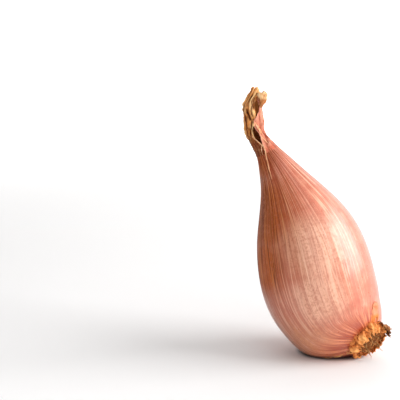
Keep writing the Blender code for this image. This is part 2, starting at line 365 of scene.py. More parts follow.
def make_spot_group():
    """A soft round patch in space, with an uneven edge."""
    group, into, out = new_group(
        "soft patch",
        [
            ("Centre", "Vector", (0, 0, 0)),
            ("Radius", "Float", 0.01),
            ("Unevenness", "Float", 0.3),
        ],
        [("Mask", "Float")],
    )
    place = put(group, "TexCoord")["Object"]
    away = put(group, "VectorMath", {0: place, 1: into["Centre"]}, operation="DISTANCE")["Value"]
    share = reckon(group, "DIVIDE", away, into["Radius"])
    rough = put(group, "TexNoise", {"Vector": place, "Scale": 110.0, "Detail": 3.0})["Fac"]
    uneven = reckon(group, "MULTIPLY", reckon(group, "SUBTRACT", rough, 0.5), into["Unevenness"])
    group.links.new(fade(group, reckon(group, "ADD", share, uneven), 1.0, 0.35), out["Mask"])
    return group


veins = make_vein_group()
soft_patch = make_spot_group()
print("node groups:", [group.name for group in bpy.data.node_groups])


# %% [markdown]
# ## Rings
#
# The bulb and its roots are closed tubes, so they are lofted as by hand: a ring is added, then
# extruded again and again, and each new ring is moved, turned and scaled to its place. With no
# window the turn operator turns the other way, so a turn is done as three turns about X, Y and
# Z with the sign changed. Leaves and scraps follow such rings too, but are laid on as sheets.


# %% Ring helpers
def catmull(values, place):
    """Value at a fractional place on a smooth curve through evenly spaced values."""
    last = len(values) - 1
    index = min(int(place), last - 1)
    share = place - index
    start, end = values[index], values[index + 1]
    before = values[index - 1] if index > 0 else 2 * start - end
    after = values[index + 2] if index < last - 1 else 2 * end - start
    line = (end - before) * share
    square = (2 * before - 5 * start + 4 * end - after) * share**2
    cube = (3 * start - before - 3 * end + after) * share**3
    return 0.5 * (2 * start + line + square + cube)


def section(stations, place):
    """Centre, turn, width and depth of the ring at a fractional place in a table."""
    x, y, z, width, depth, lean, pitch, twist = (catmull(c, place) for c in zip(*stations))
    lean, pitch, twist = math.radians(lean), math.radians(pitch), math.radians(twist)
    flat = math.cos(pitch)
    axis = Vector((-math.sin(lean) * flat, math.sin(pitch), math.cos(lean) * flat))
    side = Vector((math.cos(lean), 0, math.sin(lean)))
    turn = Matrix((side, axis.cross(side), axis)).transposed() @ Matrix.Rotation(twist, 3, "Z")
    return spot + Vector((x, y, z)) * MM, turn, width * MM, depth * MM


def on_ring(ring, angle, size=1.0):
    """The point of a ring at an angle in degrees, moved out from its centre by a factor."""
    centre, turn, width, depth = ring
    around = math.radians(angle)
    return centre + turn @ Vector((width * math.cos(around), depth * math.sin(around), 0)) * size


def first_ring(name, ring, sides):
    """A circle placed as the first ring, left in edit mode with all of it selected."""
    centre, turn, width, depth = ring
    deselect()
    bpy.ops.mesh.primitive_circle_add(vertices=sides, radius=1, location=centre)
    piece = bpy.context.object
    piece.name = piece.data.name = name
    piece.rotation_euler = turn.to_euler()
    piece.scale = (width, depth, 1)
    bpy.ops.object.transform_apply(location=True, rotation=True, scale=True)
    bpy.ops.object.mode_set(mode="EDIT")
    bpy.ops.mesh.select_all(action="SELECT")
    return piece


def next_ring(before, after):
    """Extrudes the selected ring and brings the new one to its place."""
    centre, turn, width, depth = after
    step = centre - before[0]
    bpy.ops.mesh.extrude_region_move(TRANSFORM_OT_translate={"value": step})
    spin = (turn @ before[1].transposed()).to_euler()
    for axis, angle in zip("XYZ", spin):
        bpy.ops.transform.rotate(value=-angle, orient_axis=axis, center_override=centre)
    bpy.ops.transform.resize(
        value=(width / before[2], depth / before[3], 1),
        orient_type="GLOBAL",
        orient_matrix=turn,
        orient_matrix_type="GLOBAL",
        center_override=centre,
    )


def mark_grain(piece, ring, along):
    """Writes the grain of the ring that is selected in edit mode."""
    centre, turn, width, depth = ring
    mesh = bmesh.from_edit_mesh(piece.data)
    layers = mesh.verts.layers.float_vector
    layer = layers.get("grain") or layers.new("grain")
    for vertex in mesh.verts:
        if vertex.select:
            across = turn.transposed() @ (vertex.co - centre)
            angle = math.atan2(across.y / depth, across.x / width)
            vertex[layer] = (math.cos(angle), math.sin(angle), along)
    bmesh.update_edit_mesh(piece.data)


# %% [markdown]
# ## The bulb
#
# The bulb bulges low down and draws in to a thin neck that leans to the left. Its root end
# points down to the right and forwards, so the rings near it open like a fan. Thirteen spans
# between listed rings hold the shape, and two rings per span keep its curves true.

# %% Bulb shape
# x, y, z, half width and half depth in millimetres; lean, pitch and twist in degrees
BULB_STATIONS = [
    (10.8, -10.2, 7.0, 4.2, 4.5, 50, 42, 0),
    (9.3, -8.7, 7.3, 8.3, 8.8, 47, 36, 0),
    (6.5, -6.5, 8.1, 12.4, 13.0, 43, 28, 0),
    (3.3, -4.1, 10.0, 15.3, 15.9, 38, 20, 0),
    (0.3, -2.2, 13.8, 17.4, 17.9, 32, 13, 0),
    (-3.0, -1.0, 19.8, 18.9, 19.2, 27, 10, 0),
    (-5.6, 0.0, 27.0, 19.3, 19.4, 22, 9, 0),
    (-7.7, 1.2, 34.8, 18.4, 18.3, 19, 9, 0),
    (-10.1, 2.5, 42.7, 16.2, 15.9, 19.5, 9, 0),
    (-13.1, 3.7, 50.2, 12.4, 12.1, 22, 9, 0),
    (-16.5, 4.8, 57.5, 8.2, 7.9, 25, 9, 0),
    (-19.6, 5.8, 63.3, 5.5, 5.2, 27, 9, 0),
    (-22.0, 6.5, 67.4, 3.7, 3.5, 28, 9, 0),
    (-23.6, 6.9, 70.0, 3.1, 2.9, 29, 9, 0),
]
BULB_SIDES = 48
RINGS_PER_SPAN = 2
SETTLE = 0.8 * MM
SETTLE_HEIGHT = 4.5 * MM


def make_bulb():
    """The bulb as an open tube of rings, left in edit mode."""
    spans = len(BULB_STATIONS) - 1
    places = [i / RINGS_PER_SPAN for i in range(spans * RINGS_PER_SPAN + 1)]
    rings = [section(BULB_STATIONS, place) for place in places]
    bulb = first_ring("bulb_skin", rings[0], BULB_SIDES)
    mark_grain(bulb, rings[0], 0.0)
    for place, before, after in zip(places[1:], rings, rings[1:]):
        next_ring(before, after)
        mark_grain(bulb, after, place / spans)
    return bulb


def close_end(piece, centre, sink):
    """Closes the open ring that is nearest a point with two smaller rings and a face."""
    mesh = bmesh.from_edit_mesh(piece.data)
    open_points = [vertex for vertex in mesh.verts if vertex.is_boundary]
    reach = 1.5 * min((vertex.co - centre).length for vertex in open_points)

    def is_near_rim(edge):
        return edge.is_boundary and all((point.co - centre).length < reach for point in edge.verts)

    select_edges(piece, is_near_rim)
    for share in (0.6, 0.3):
        bpy.ops.mesh.extrude_region_move(TRANSFORM_OT_translate={"value": sink})
        bpy.ops.transform.resize(value=(share, share, share), center_override=centre + sink)
    bpy.ops.mesh.edge_face_add()


bulb = make_bulb()
root_centre, root_turn = section(BULB_STATIONS, 0)[:2]
neck_centre, neck_turn = section(BULB_STATIONS, len(BULB_STATIONS) - 1)[:2]
close_end(bulb, root_centre, root_turn.col[2] * 0.3 * MM)
close_end(bulb, neck_centre, -neck_turn.col[2] * 0.8 * MM)
bpy.ops.mesh.select_all(action="SELECT")
bpy.ops.mesh.normals_make_consistent(inside=False)
deselect()
print("bulb cage:", len(bulb.data.vertices), "vertices")


# %% Smooth it and let it settle
def apply_modifier(piece, kind, **settings):
    """Adds a modifier, sets it and applies it."""
    deselect()
    piece.select_set(True)
    bpy.context.view_layer.objects.active = piece
    added = piece.modifiers.new(kind.lower(), kind)
    for name, value in settings.items():
        setattr(added, name, value)
    bpy.ops.object.modifier_apply(modifier=added.name)


def points_of(piece):
    flat = np.empty(len(piece.data.vertices) * 3)
    piece.data.vertices.foreach_get("co", flat)
    return flat.reshape(-1, 3)


def normals_of(piece):
    return np.array([vertex.normal for vertex in piece.data.vertices])


def grain_of(piece):
    flat = np.empty(len(piece.data.vertices) * 3)
    piece.data.attributes["grain"].data.foreach_get("vector", flat)
    return flat.reshape(-1, 3)


def move_points(piece, points):
    piece.data.vertices.foreach_set("co", points.ravel())
    piece.data.update()


def settle(piece):
    """Presses the underside down to the table and cuts it flat there."""
    points = points_of(piece)
    height = np.maximum(points[:, 2], 0)
    points[:, 2] -= SETTLE * np.exp(-((height / SETTLE_HEIGHT) ** 2))
    move_points(piece, points)
    deselect()
    bpy.context.view_layer.objects.active = piece
    bpy.ops.object.mode_set(mode="EDIT")
    bpy.ops.mesh.select_all(action="SELECT")
    cut = {"plane_co": spot, "plane_no": (0, 0, 1), "threshold": 0.001 * MM}
    bpy.ops.mesh.bisect(**cut, clear_inner=True, use_fill=True)
    deselect()


apply_modifier(bulb, "SUBSURF", levels=3, render_levels=3)
settle(bulb)
print("bulb:", len(bulb.data.polygons), "faces; the solid ends at", round(bulb_high.z / MM, 1), "mm")


# %% [markdown]
# ## Wrinkles in the skin
#
# Dry skin is drawn into long pleats at the neck and lies almost smooth on the belly. These
# are real folds in the mesh: every point moves a little along its normal by noise that is
# stretched along the grain. Only the finest veins are left to the material.


# %% Pleats
def grain_noise(grain, around, along, seed):
    """Smooth noise in [-1, 1], stretched along the grain."""
    stretch = np.array([around, around, along])
    return np.array([noise.noise(Vector(point)) for point in grain * stretch + seed])


def pleat(piece):
    """Folds the skin: deeply at the neck, less round the root plate, hardly on the belly."""
    points = points_of(piece)
    grain = grain_of(piece)
    normals = normals_of(piece)
    along = grain[:, 2]
    near_neck = np.clip((along - 0.62) / 0.3, 0, 1) ** 1.5
    near_root = np.clip((0.16 - along) / 0.16, 0, 1)
    pinched = np.clip((along - 0.84) / 0.12, 0, 1)
    deep = grain_noise(grain, 5.0, 2.0, 11.3)
    fine = grain_noise(grain, 17.0, 2.6, 4.7)
    slack = grain_noise(grain, 1.3, 2.5, 7.9)
    lift = 0.10 * slack + (0.03 + 0.26 * near_neck + 0.14 * near_root) * deep
    lift += (0.04 + 0.12 * near_neck + 0.08 * near_root) * fine
    lift -= 0.30 * pinched * np.clip(1 - 5 * np.abs(grain_noise(grain, 3.6, 1.2, 2.9)), 0, 1)
    lift *= np.clip(points[:, 2] / (2 * MM), 0, 1)
    move_points(piece, points + normals * lift[:, None] * MM)
    print(f"pleats from {lift.min():.2f} to {lift.max():.2f} mm")


pleat(bulb)
bpy.context.view_layer.objects.active = bulb
bulb.select_set(True)
bpy.ops.object.shade_smooth()


# %% [markdown]
# ## Coppery skin
#
# The skin is thin, satin and salmon pink. Close up it is a fan of pale veins over darker
# bands. On the left it has dried to a golden brown with dark veins, in the middle it is pale
# as peach, and round the root plate it turns red. Each of these is one mask and one mix. Some
# of the colour is painted light: the peach middle is partly a painted sheen, the left edge and
# the skin below the neck are darkened partly as painted shade, the lowest skin is dark as a
# painted contact shadow, and the outline is darkened by Layer Weight as painted shade, which
# an exported model can't keep.


# %% Patches of the skin
# Centre of each patch from the spot it rests on, and radius, in millimetres
GOLD_PATCHES = [((-27, -3, 47), 21), ((-27, -8, 31), 17)]
# The left edge: dried skin, darkened further as painted shade
DRY_AND_SHADED_EDGE_PATCHES = [((-31, 1, 47), 16)]
# Below the neck: dried skin, darkened further as painted shade
DRY_AND_SHADED_NECK_PATCHES = [((-28, 1, 65), 13), ((-25, 14, 63), 11)]
# The pale middle: peach skin, brightened further as a painted sheen
PEACH_AND_SHEEN_PATCHES = [((-8, -17, 39.5), 15), ((-6, -19, 24), 12)]
TAN_PATCHES = [((-9, -13, 5), 15)]


def patch_mask(tree, patches):
    """1 inside any of the patches and 0 outside them all."""
    mask = 0.0
    for centre, radius in patches:
        inputs = {"Centre": spot + Vector(centre) * MM, "Radius": radius * MM}
        mask = reckon(tree, "MAXIMUM", mask, use_group(tree, soft_patch, inputs)["Mask"])
    return mask


# %% Skin finish
# Heights over which the lowest skin turns dark, as a painted contact shadow
PAINTED_CONTACT_SHADE_BAND = (spot.z + 1.7 * MM, spot.z + 0.3 * MM)


def make_skin():
    """Pink skin with its patches, specks, veins and red root end, and painted shade low down and at
    its outline.
    """
    made, tree, shader = new_material("coppery_skin")
    grain = put(tree, "Attribute", attribute_name="grain")["Vector"]
    along = put(tree, "SeparateXYZ", {0: grain})["Z"]
    place = put(tree, "TexCoord")["Object"]
    where = put(tree, "SeparateXYZ", {0: place})

    def vein(count, length, waver, width=0.04):
        looks = {"Count": count, "Length": length, "Waver": waver, "Line Width": width}
        return use_group(tree, veins, {"Grain": grain, **looks})

    def specks(scale, detail=3.0):
        return put(tree, "TexNoise", {"Vector": place, "Scale": scale, "Detail": detail})["Fac"]

    def times(first, second):
        return reckon(tree, "MULTIPLY", first, second)

    def lay(under, *layers):
        for mask, share, over in layers:
            under = mixed(tree, times(mask, share), under, (*over, 1))
        return under

    fine = vein(17.0, 2.0, 0.05, 0.06)
    finest = vein(30.0, 3.0, 0.05)
    major = vein(7.0, 0.7, 0.08, 0.028)
    dark = vein(19.0, 3.5, 0.05, 0.07)
    broad = vein(9.0, 5.0, 0.2)
    mottle = specks(300.0, 6.0)
    speck = specks(1300.0)
    blotch = specks(650.0)
    gold_mask = patch_mask(tree, GOLD_PATCHES)
    dry_and_shaded_edge_mask = patch_mask(tree, DRY_AND_SHADED_EDGE_PATCHES)
    dry_and_shaded_neck_mask = patch_mask(tree, DRY_AND_SHADED_NECK_PATCHES)
    root_mask = fade(tree, along, 0.27, 0.09)
    left_side = fade(tree, where["X"], -4 * MM, -18 * MM)
    right_side = fade(tree, where["X"], -9 * MM, 3 * MM)
    dry_mask = reckon(tree, "MAXIMUM", gold_mask, dry_and_shaded_neck_mask)
    away = reckon(tree, "MULTIPLY_ADD", root_mask, -0.6, 1.0)

    # The ground: pink, golden brown on the left, with patches and specks
    pink = mixed(tree, fade(tree, mottle, 0.35, 0.65), (0.64, 0.155, 0.08, 1), (0.76, 0.26, 0.155, 1))
    gold = mixed(tree, dark["Bands"], (0.57, 0.145, 0.035, 1), (0.33, 0.065, 0.013, 1))
    colour = lay(pink, (left_side, 0.7, (0.56, 0.12, 0.042)))
    colour = mixed(tree, gold_mask, colour, gold)
    colour = lay(
        colour,
        # Dried skin, darkened further as painted shade, at the left edge and below the neck
        (dry_and_shaded_edge_mask, 0.9, (0.13, 0.025, 0.005)),
        (dry_and_shaded_neck_mask, 0.85, (0.22, 0.046, 0.014)),
        (patch_mask(tree, TAN_PATCHES), 0.75, (0.70, 0.32, 0.14)),
        # Peach skin with a painted sheen
        (patch_mask(tree, PEACH_AND_SHEEN_PATCHES), 0.9, (0.97, 0.55, 0.36)),
        (broad["Bands"], 0.32, (0.50, 0.12, 0.05)),
        (fade(tree, blotch, 0.5, 0.6), 0.35, (0.60, 0.19, 0.10)),
        (fade(tree, speck, 0.5, 0.62), 0.45, (0.52, 0.16, 0.08)),
        (fine["Bands"], 0.4, (0.46, 0.10, 0.045)),
    )

    # The veins: pale broken ones, dark streaks, and a few long major ones
    pale_vein = mixed(tree, dry_mask, (0.92, 0.53, 0.36, 1), (0.74, 0.24, 0.065, 1))
    broken = reckon(tree, "MULTIPLY_ADD", fade(tree, mottle, 0.4, 0.6), 0.35, 0.12)
    colour = mixed(tree, times(times(fine["Lines"], away), broken), colour, pale_vein)
    streaks = times(dark["Lines"], reckon(tree, "MULTIPLY_ADD", dry_mask, 0.5, 0.4))
    streak = mixed(tree, dry_mask, (0.46, 0.09, 0.04, 1), (0.17, 0.035, 0.008, 1))
    colour = mixed(tree, streaks, colour, streak)
    drawn_in = times(dark["Bands"], fade(tree, along, 0.66, 0.9))
    colour = lay(colour, (drawn_in, 0.75, (0.30, 0.05, 0.02)))
    belly = reckon(tree, "MULTIPLY_ADD", fade(tree, along, 0.25, 0.5), 0.45, 0.3)
    strength = times(reckon(tree, "MULTIPLY_ADD", right_side, -0.25, belly), away)
    colour = mixed(tree, times(major["Lines"], strength), colour, pale_vein)

    # The red root end, then painted shade: a dark band low down as contact shadow, and the outline
    red = (0.40, 0.045, 0.01)
    colour = lay(
        colour,
        (root_mask, 0.6, (0.88, 0.31, 0.13)),
        (times(fade(tree, finest["Bands"], 0.35, 0.65), root_mask), 0.9, red),
        (times(dark["Lines"], root_mask), 0.7, red),
        (fade(tree, where["Z"], *PAINTED_CONTACT_SHADE_BAND), 0.85, (0.10, 0.014, 0.004)),
    )
    # Painted shade: the outline darkens with the angle of view, brown on the left and deep pink on
    # the right
    rim = reckon(tree, "POWER", put(tree, "LayerWeight", {"Blend": 0.5})["Facing"], 4.0)
    painted_outline_colour = mixed(tree, right_side, (0.26, 0.06, 0.02, 1), (0.50, 0.15, 0.135, 1))
    colour = mixed(tree, times(rim, 0.85), colour, painted_outline_colour)
    tree.links.new(colour, shader["Base Color"])

    # Satin on the pink, dull where the skin has dried
    dull_mask = reckon(tree, "MAXIMUM", dry_mask, dry_and_shaded_edge_mask)
    rough = reckon(tree, "ADD", 0.23, times(speck, 0.14))
    tree.links.new(reckon(tree, "MULTIPLY_ADD", dull_mask, 0.25, rough), shader["Roughness"])
    shine = reckon(tree, "MULTIPLY_ADD", dull_mask, -0.85, 0.95)
    tree.links.new(shine, shader["Specular IOR Level"])
    height = reckon(tree, "ADD", fine["Height"], times(finest["Height"], 0.5))
    height = reckon(tree, "MULTIPLY_ADD", speck, 0.3, height)
    bump = put(tree, "Bump", {"Height": height, "Strength": 0.4, "Distance": 0.12 * MM})
    tree.links.new(bump["Normal"], shader["Normal"])
    print(made.name, "has", len(tree.nodes), "nodes")
    return made


# %% Finish a piece and hide the solids it stands for
def finish_piece(piece, finish, slot, *nodes):
    """Gives a piece its finish and hides the solids it stands for."""
    points = points_of(piece)
    points[:, 2] = np.maximum(points[:, 2], spot.z)
    move_points(piece, points)
    piece.data.materials.clear()
    piece.data.materials.append(finish)
    deselect()
    bpy.context.view_layer.objects.active = piece
    piece.select_set(True)
    bpy.ops.object.shade_smooth()
    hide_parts(*nodes)
    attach(piece, "root")
    print(piece.name, "has", len(piece.data.polygons), "faces")


finish_piece(bulb, make_skin(), "copper_skin", "bulb")

# %% [markdown]
# ## Husk
#
# Dead leaf and torn skin are paper: golden or brown and fibrous along the grain, and painted
# darkest in the bottom of each fold as shade. Cloth could be dropped and crumpled, but wouldn't
# fall into the folds that it should have. So a husk piece is a fine grid laid on a curved form
# like a sheet of paper, with free edges torn by noise. Then it is wrinkled, and single creases
# are pressed in with `score`. Attributes keep what the finish needs: painted shade for the
# valleys, a painted highlight for the folds between them, and `rim` to lighten the torn edge.


# %% Laying and wrinkling a sheet
def write_value(piece, name, values):
    """Adds an attribute with one number for each point."""
    piece.data.attributes.new(name, "FLOAT", "POINT").data.foreach_set("value", values)


def lay_sheet(name, across, along, place_of):
    """A grid whose points go where place_of(u, v) says; it gives a point, an angle, a height."""
    deselect()
    bpy.ops.mesh.primitive_grid_add(x_subdivisions=across, y_subdivisions=along, size=1)
    sheet = bpy.context.object
    sheet.name = sheet.data.name = name
    points, grain, rim = [], [], []
    for vertex in sheet.data.vertices:
        u, v = vertex.co.x + 0.5, vertex.co.y + 0.5
        point, angle, height = place_of(u, v)
        points.append(point)
        grain.extend((math.cos(angle), math.sin(angle), height))
        rim.append(max(abs(2 * u - 1), 2 * v - 1) ** 8)
    move_points(sheet, np.array(points))
    sheet.data.attributes.new("grain", "FLOAT_VECTOR", "POINT").data.foreach_set("vector", grain)
    write_value(sheet, "rim", rim)
    return sheet


def ragged(place, seed):
    """A torn edge: noise in about [-1, 1] with both long and short teeth."""
    return noise.noise((place * 5, seed, 0)) + 0.6 * noise.noise((place * 19, seed, 9))


def wrinkle(sheet, depth, around, along, seed, quiet=0.0, crumpled=0.22):
    """Folds along the grain with sharp valleys, and small crumples between them."""
    points = points_of(sheet)
    grain = grain_of(sheet)
    normals = normals_of(sheet)
    fold = np.abs(grain_noise(grain, around, along, seed))
    pleats = np.abs(grain_noise(grain, around * 2.6, along * 1.7, seed + 5))
    crumple = np.array([noise.noise(Vector(point)) for point in points / (0.9 * MM) + seed])
    lift = fold + 0.4 * pleats - 0.3 + crumpled * crumple
    if quiet:
        lift *= np.clip((grain[:, 2] - grain[:, 2].min()) / quiet, 0, 1)
    move_points(sheet, points + normals * lift[:, None] * depth * MM)
    # How much painted shade each valley gets, and how much painted highlight each fold between them
    write_value(sheet, "crease_shade", np.clip(1 - (fold + 0.3 * pleats) * 4.5, 0, 1))
    write_value(sheet, "ridge_highlight", np.clip((fold + 0.5 * pleats - 0.3) * 3, 0, 1))


def score(sheet, path, width, depth):
    """Presses one fold along a path of (height, angle in degrees) in the sheet's grain, and paints
    shade in it.
    """
    points = points_of(sheet)
    grain = grain_of(sheet)
    normals = normals_of(sheet)
    heights, angles = zip(*path)
    angle = np.degrees(np.arctan2(grain[:, 1], grain[:, 0])) % 360
    rise = grain[:, 2] - grain[:, 2].min()
    away = (angle - np.interp(rise, heights, angles)) / width
    inside = (rise > heights[0]) & (rise < heights[-1])
    middle = (heights[0] + heights[-1]) / 2
    ends = 1 - np.abs((rise - middle) / (heights[-1] - middle)) ** 4
    pressed = np.where(inside, np.exp(-(away**2)) * ends, 0)
    move_points(sheet, points - normals * (pressed * depth * MM)[:, None])
    # The pressed fold gets painted shade too
    crease_shade = np.empty(len(points))
    layer = sheet.data.attributes["crease_shade"].data
    layer.foreach_get("value", crease_shade)
    layer.foreach_set("value", np.maximum(crease_shade, np.clip(pressed * 1.6, 0, 1)))


def thicken(sheet, thickness):
    """Gives a sheet its thickness and rounds its edges."""
    settings = {"thickness": thickness * MM, "offset": 0.0, "use_even_offset": False}
    apply_modifier(sheet, "SOLIDIFY", **settings)
    apply_modifier(sheet, "SUBSURF", levels=1, render_levels=1)


# %% Husk finish
def make_husk_group():
    """Colour, roughness and height of papery husk from its grain and rim, with painted shade in its
    valleys and painted highlight on its folds.
    """
    group, into, out = new_group(
        "husk",
        [
            ("Pale", "Color", (0.86, 0.47, 0.23, 1)),
            ("Middle", "Color", (0.68, 0.28, 0.10, 1)),
            ("Dark", "Color", (0.17, 0.035, 0.008, 1)),
            ("Foot", "Color", (0.34, 0.10, 0.045, 1)),
            ("Foot Height", "Float", 0.0),
            ("Fibres", "Float", 14.0),
            ("Fibre Length", "Float", 9.0),
            ("Streaks", "Float", 0.35),
            ("Pale Rim", "Float", 0.3),
        ],
        [("Color", "Color"), ("Roughness", "Float"), ("Height", "Float")],
    )
    grain = put(group, "Attribute", attribute_name="grain")["Vector"]
    crease_shade, ridge_highlight, rim = (
        put(group, "Attribute", attribute_name=name)["Fac"] for name in ("crease_shade", "ridge_highlight", "rim")
    )
    along = put(group, "SeparateXYZ", {0: grain})["Z"]
    count = {"Grain": grain, "Count": into["Fibres"], "Length": into["Fibre Length"]}
    strands = use_group(group, veins, count)
    place = put(group, "TexCoord")["Object"]
    stain = put(group, "TexNoise", {"Vector": place, "Scale": 420.0, "Detail": 4.0})["Fac"]
    stained = reckon(group, "MULTIPLY", fade(group, stain, 0.4, 0.7), 0.3)
    # Painted highlight on the folds, with real pale stains
    pale = reckon(group, "MULTIPLY_ADD", ridge_highlight, 1.0, stained)
    colour = mixed(group, pale, into["Middle"], into["Pale"])
    uneven = reckon(group, "ADD", along, reckon(group, "MULTIPLY", stain, 0.12))
    low_part = reckon(group, "SUBTRACT", uneven, into["Foot Height"])
    colour = mixed(group, fade(group, low_part, 0.14, 0.0), colour, into["Foot"])
    streaks = reckon(group, "MULTIPLY", strands["Bands"], into["Streaks"])
    colour = mixed(group, streaks, colour, into["Dark"])
    colour = mixed(group, reckon(group, "MULTIPLY", strands["Lines"], 0.35), colour, into["Pale"])
    # Painted shade in the valleys
    colour = mixed(group, reckon(group, "MULTIPLY", crease_shade, 0.95), colour, into["Dark"])
    colour = mixed(group, reckon(group, "MULTIPLY", rim, into["Pale Rim"]), colour, into["Pale"])
    group.links.new(colour, out["Color"])
    group.links.new(reckon(group, "MULTIPLY_ADD", stain, 0.3, 0.42), out["Roughness"])
    group.links.new(strands["Height"], out["Height"])
    return group


def make_husk(name, outline_shade=0.7, **looks):
    """A husk material with painted shade darkening its outline; underscores in its looks stand for
    spaces.
    """
    made, tree, shader = new_material(name)
    made_of = use_group(tree, husk, {key.replace("_", " "): value for key, value in looks.items()})
    # Painted shade: the outline darkens with the angle of view
    rim = reckon(tree, "POWER", put(tree, "LayerWeight", {"Blend": 0.5})["Facing"], 4.0)
    shaded = reckon(tree, "MULTIPLY", rim, outline_shade)
    colour = mixed(tree, shaded, made_of["Color"], (0.12, 0.035, 0.01, 1))
    tree.links.new(colour, shader["Base Color"])
    tree.links.new(made_of["Roughness"], shader["Roughness"])
    bump = put(tree, "Bump", {"Height": made_of["Height"], "Strength": 0.7, "Distance": 0.12 * MM})
    tree.links.new(bump["Normal"], shader["Normal"])
    shader["Specular IOR Level"].default_value = 0.15
    return made


husk = make_husk_group()

# %% Husk colours
golden_husk = make_husk(
    "golden_husk",
    outline_shade=0.9,
    Fibres=9.0,
    Streaks=0.2,
    Pale_Rim=0.0,
    Pale=(1.0, 0.63, 0.28, 1),
    Middle=(0.86, 0.31, 0.07, 1),
    Dark=(0.12, 0.018, 0.003, 1),
    # A dark foot that continues the dried skin and painted shade below the neck
    Foot=(0.24, 0.05, 0.015, 1),
    Foot_Height=1.22,
)
curled_husk = make_husk(
    "curled_husk",
    Pale=(0.98, 0.72, 0.42, 1),
    Middle=(0.88, 0.50, 0.22, 1),
    Dark=(0.34, 0.10, 0.02, 1),
    Foot=(0.56, 0.20, 0.06, 1),
    Foot_Height=0.5,
)
pink_husk = make_husk(
    "pink_husk",
    Pale=(0.86, 0.44, 0.30, 1),
    Middle=(0.74, 0.25, 0.15, 1),
    Dark=(0.34, 0.06, 0.025, 1),
    Foot=(0.62, 0.15, 0.08, 1),
    Foot_Height=1.08,
    Fibres=19.0,
    Fibre_Length=3.5,
    Streaks=0.6,
)
# The inner leaf is orange husk, made brighter and warmer as painted bounce light inside the tube of
# leaves
inner_husk_with_bounce_light = make_husk(
    "inner_husk_with_bounce_light",
    outline_shade=0.1,
    Pale=(0.88, 0.38, 0.12, 1),
    Middle=(0.78, 0.26, 0.06, 1),
    Dark=(0.40, 0.09, 0.014, 1),
    Foot=(0.30, 0.07, 0.016, 1),
    Foot_Height=1.38,
)
root_looks = {
    "Pale": (0.96, 0.44, 0.14, 1),
    "Middle": (0.80, 0.24, 0.052, 1),
    "Dark": (0.22, 0.04, 0.007, 1),
    "Fibres": 12.0,
}
root_husk = make_husk("root_husk", Foot=(0.66, 0.20, 0.07, 1), Foot_Height=-0.05, **root_looks)
# Dark brown husk for the right collar flap, darkened further as painted shade for the collar's shaded
# side
dark_husk = make_husk(
    "dark_husk",
    Pale=(0.42, 0.17, 0.055, 1),
    Middle=(0.20, 0.06, 0.015, 1),
    Dark=(0.05, 0.014, 0.004, 1),
    Foot=(0.12, 0.03, 0.008, 1),
    Foot_Height=0.02,
    Fibres=12.0,
)
husks = (golden_husk, curled_husk, pink_husk, inner_husk_with_bounce_light, root_husk, dark_husk)
print("husks:", [made.name for made in husks])

# %% [markdown]
# ## The neck leaves
#
# Above the pinch the skin ends in a tube of dead leaves, split open down the front. One table
# follows the tube up. Its last two columns say where the left leaf ends and the right leaf
# begins: they meet in the middle, and open above and below to show the dark inner leaf.


# %% Neck table
# x, y, z, half width and half depth in millimetres; lean, left leaf's and right leaf's edge
# in degrees round the tube, where 180 is the left, 270 the front and 360 the right
NECK = [
    (-21.9, 6.5, 67.2, 3.85, 3.6, 28, 258, 262),
    (-22.9, 6.8, 68.8, 3.50, 3.2, 27, 264, 264),
    (-23.9, 7.1, 70.3, 3.20, 2.9, 25, 264, 274),
    (-25.0, 7.4, 71.9, 3.00, 2.5, 20, 255, 282),
    (-25.8, 7.6, 73.5, 3.00, 2.3, 13, 256, 284),
    (-26.2, 7.8, 75.1, 3.10, 2.2, 6, 258, 270),
    (-26.3, 8.0, 76.8, 3.20, 2.2, 2, 276, 262),
    (-26.5, 8.0, 78.5, 3.20, 2.2, 0, 277, 274),
    (-26.8, 8.0, 80.2, 3.10, 2.1, 0, 287, 297),
    (-27.0, 8.0, 81.9, 2.80, 2.0, 0, 286, 318),
    (-27.2, 8.0, 83.5, 2.40, 1.8, -3, 288, 326),
    (-26.9, 8.0, 85.2, 1.90, 1.6, -8, 326, 324),
    (-26.4, 8.0, 86.9, 1.45, 1.3, -12, 346, 328),
    (-26.3, 8.0, 88.2, 1.00, 0.9, -12, 350, 330),
    (-26.3, 8.0, 88.9, 0.45, 0.4, -12, 350, 330),
]
NECK_PITCH = 4
LEFT_EDGE, RIGHT_EDGE = 6, 7


def neck_point(height, angle, size=1.0):
    """A point of the neck's tube at a fractional row and an angle in degrees."""
    x, y, z, width, depth, lean = (catmull(column, height) for column in list(zip(*NECK))[:6])
    ring = section([(x, y, z, width, depth, lean, NECK_PITCH, 0)] * 2, 0)
    return on_ring(ring, angle, size)


def neck_leaf(name, first, last, start, end, seed, size=1.0, curl=0.12, tear=7, tip_tear=0.05):
    """A leaf on the neck's tube between two edges: each is a number or a column of NECK."""

    def follows(where):
        return where in (LEFT_EDGE, RIGHT_EDGE)

    def edge(where, height):
        return catmull(list(zip(*NECK))[where], height) if follows(where) else where

    def place_of(u, v):
        v *= 1 - tip_tear * (0.5 + ragged(u, seed + 3))
        height = start + (end - start) * v
        begin, stop = edge(first, height), edge(last, height)
        if stop < begin:
            stop += 360
        begin += tear * ragged(v, seed) * follows(first)
        stop += tear * ragged(v, seed + 1) * follows(last)
        angle = begin + (stop - begin) * u
        lifted = size * (1 + curl * min(v * 4, 1) * abs(2 * u - 1) ** 5)
        return neck_point(height, angle, lifted), math.radians(angle), 1 + v

    return lay_sheet(name, 56, 96, place_of)


print(f"the neck is {NECK[-1][2] - NECK[0][2]:.1f} mm tall in {len(NECK)} rows")

# %% Left leaf
left_leaf = neck_leaf("leaf_left", 100, LEFT_EDGE, 0, len(NECK) - 1, 3.1, 1.02, curl=0.03, tear=4)
wrinkle(left_leaf, 1.3, 1.5, 3.6, 3.1, quiet=0.25, crumpled=0.25)
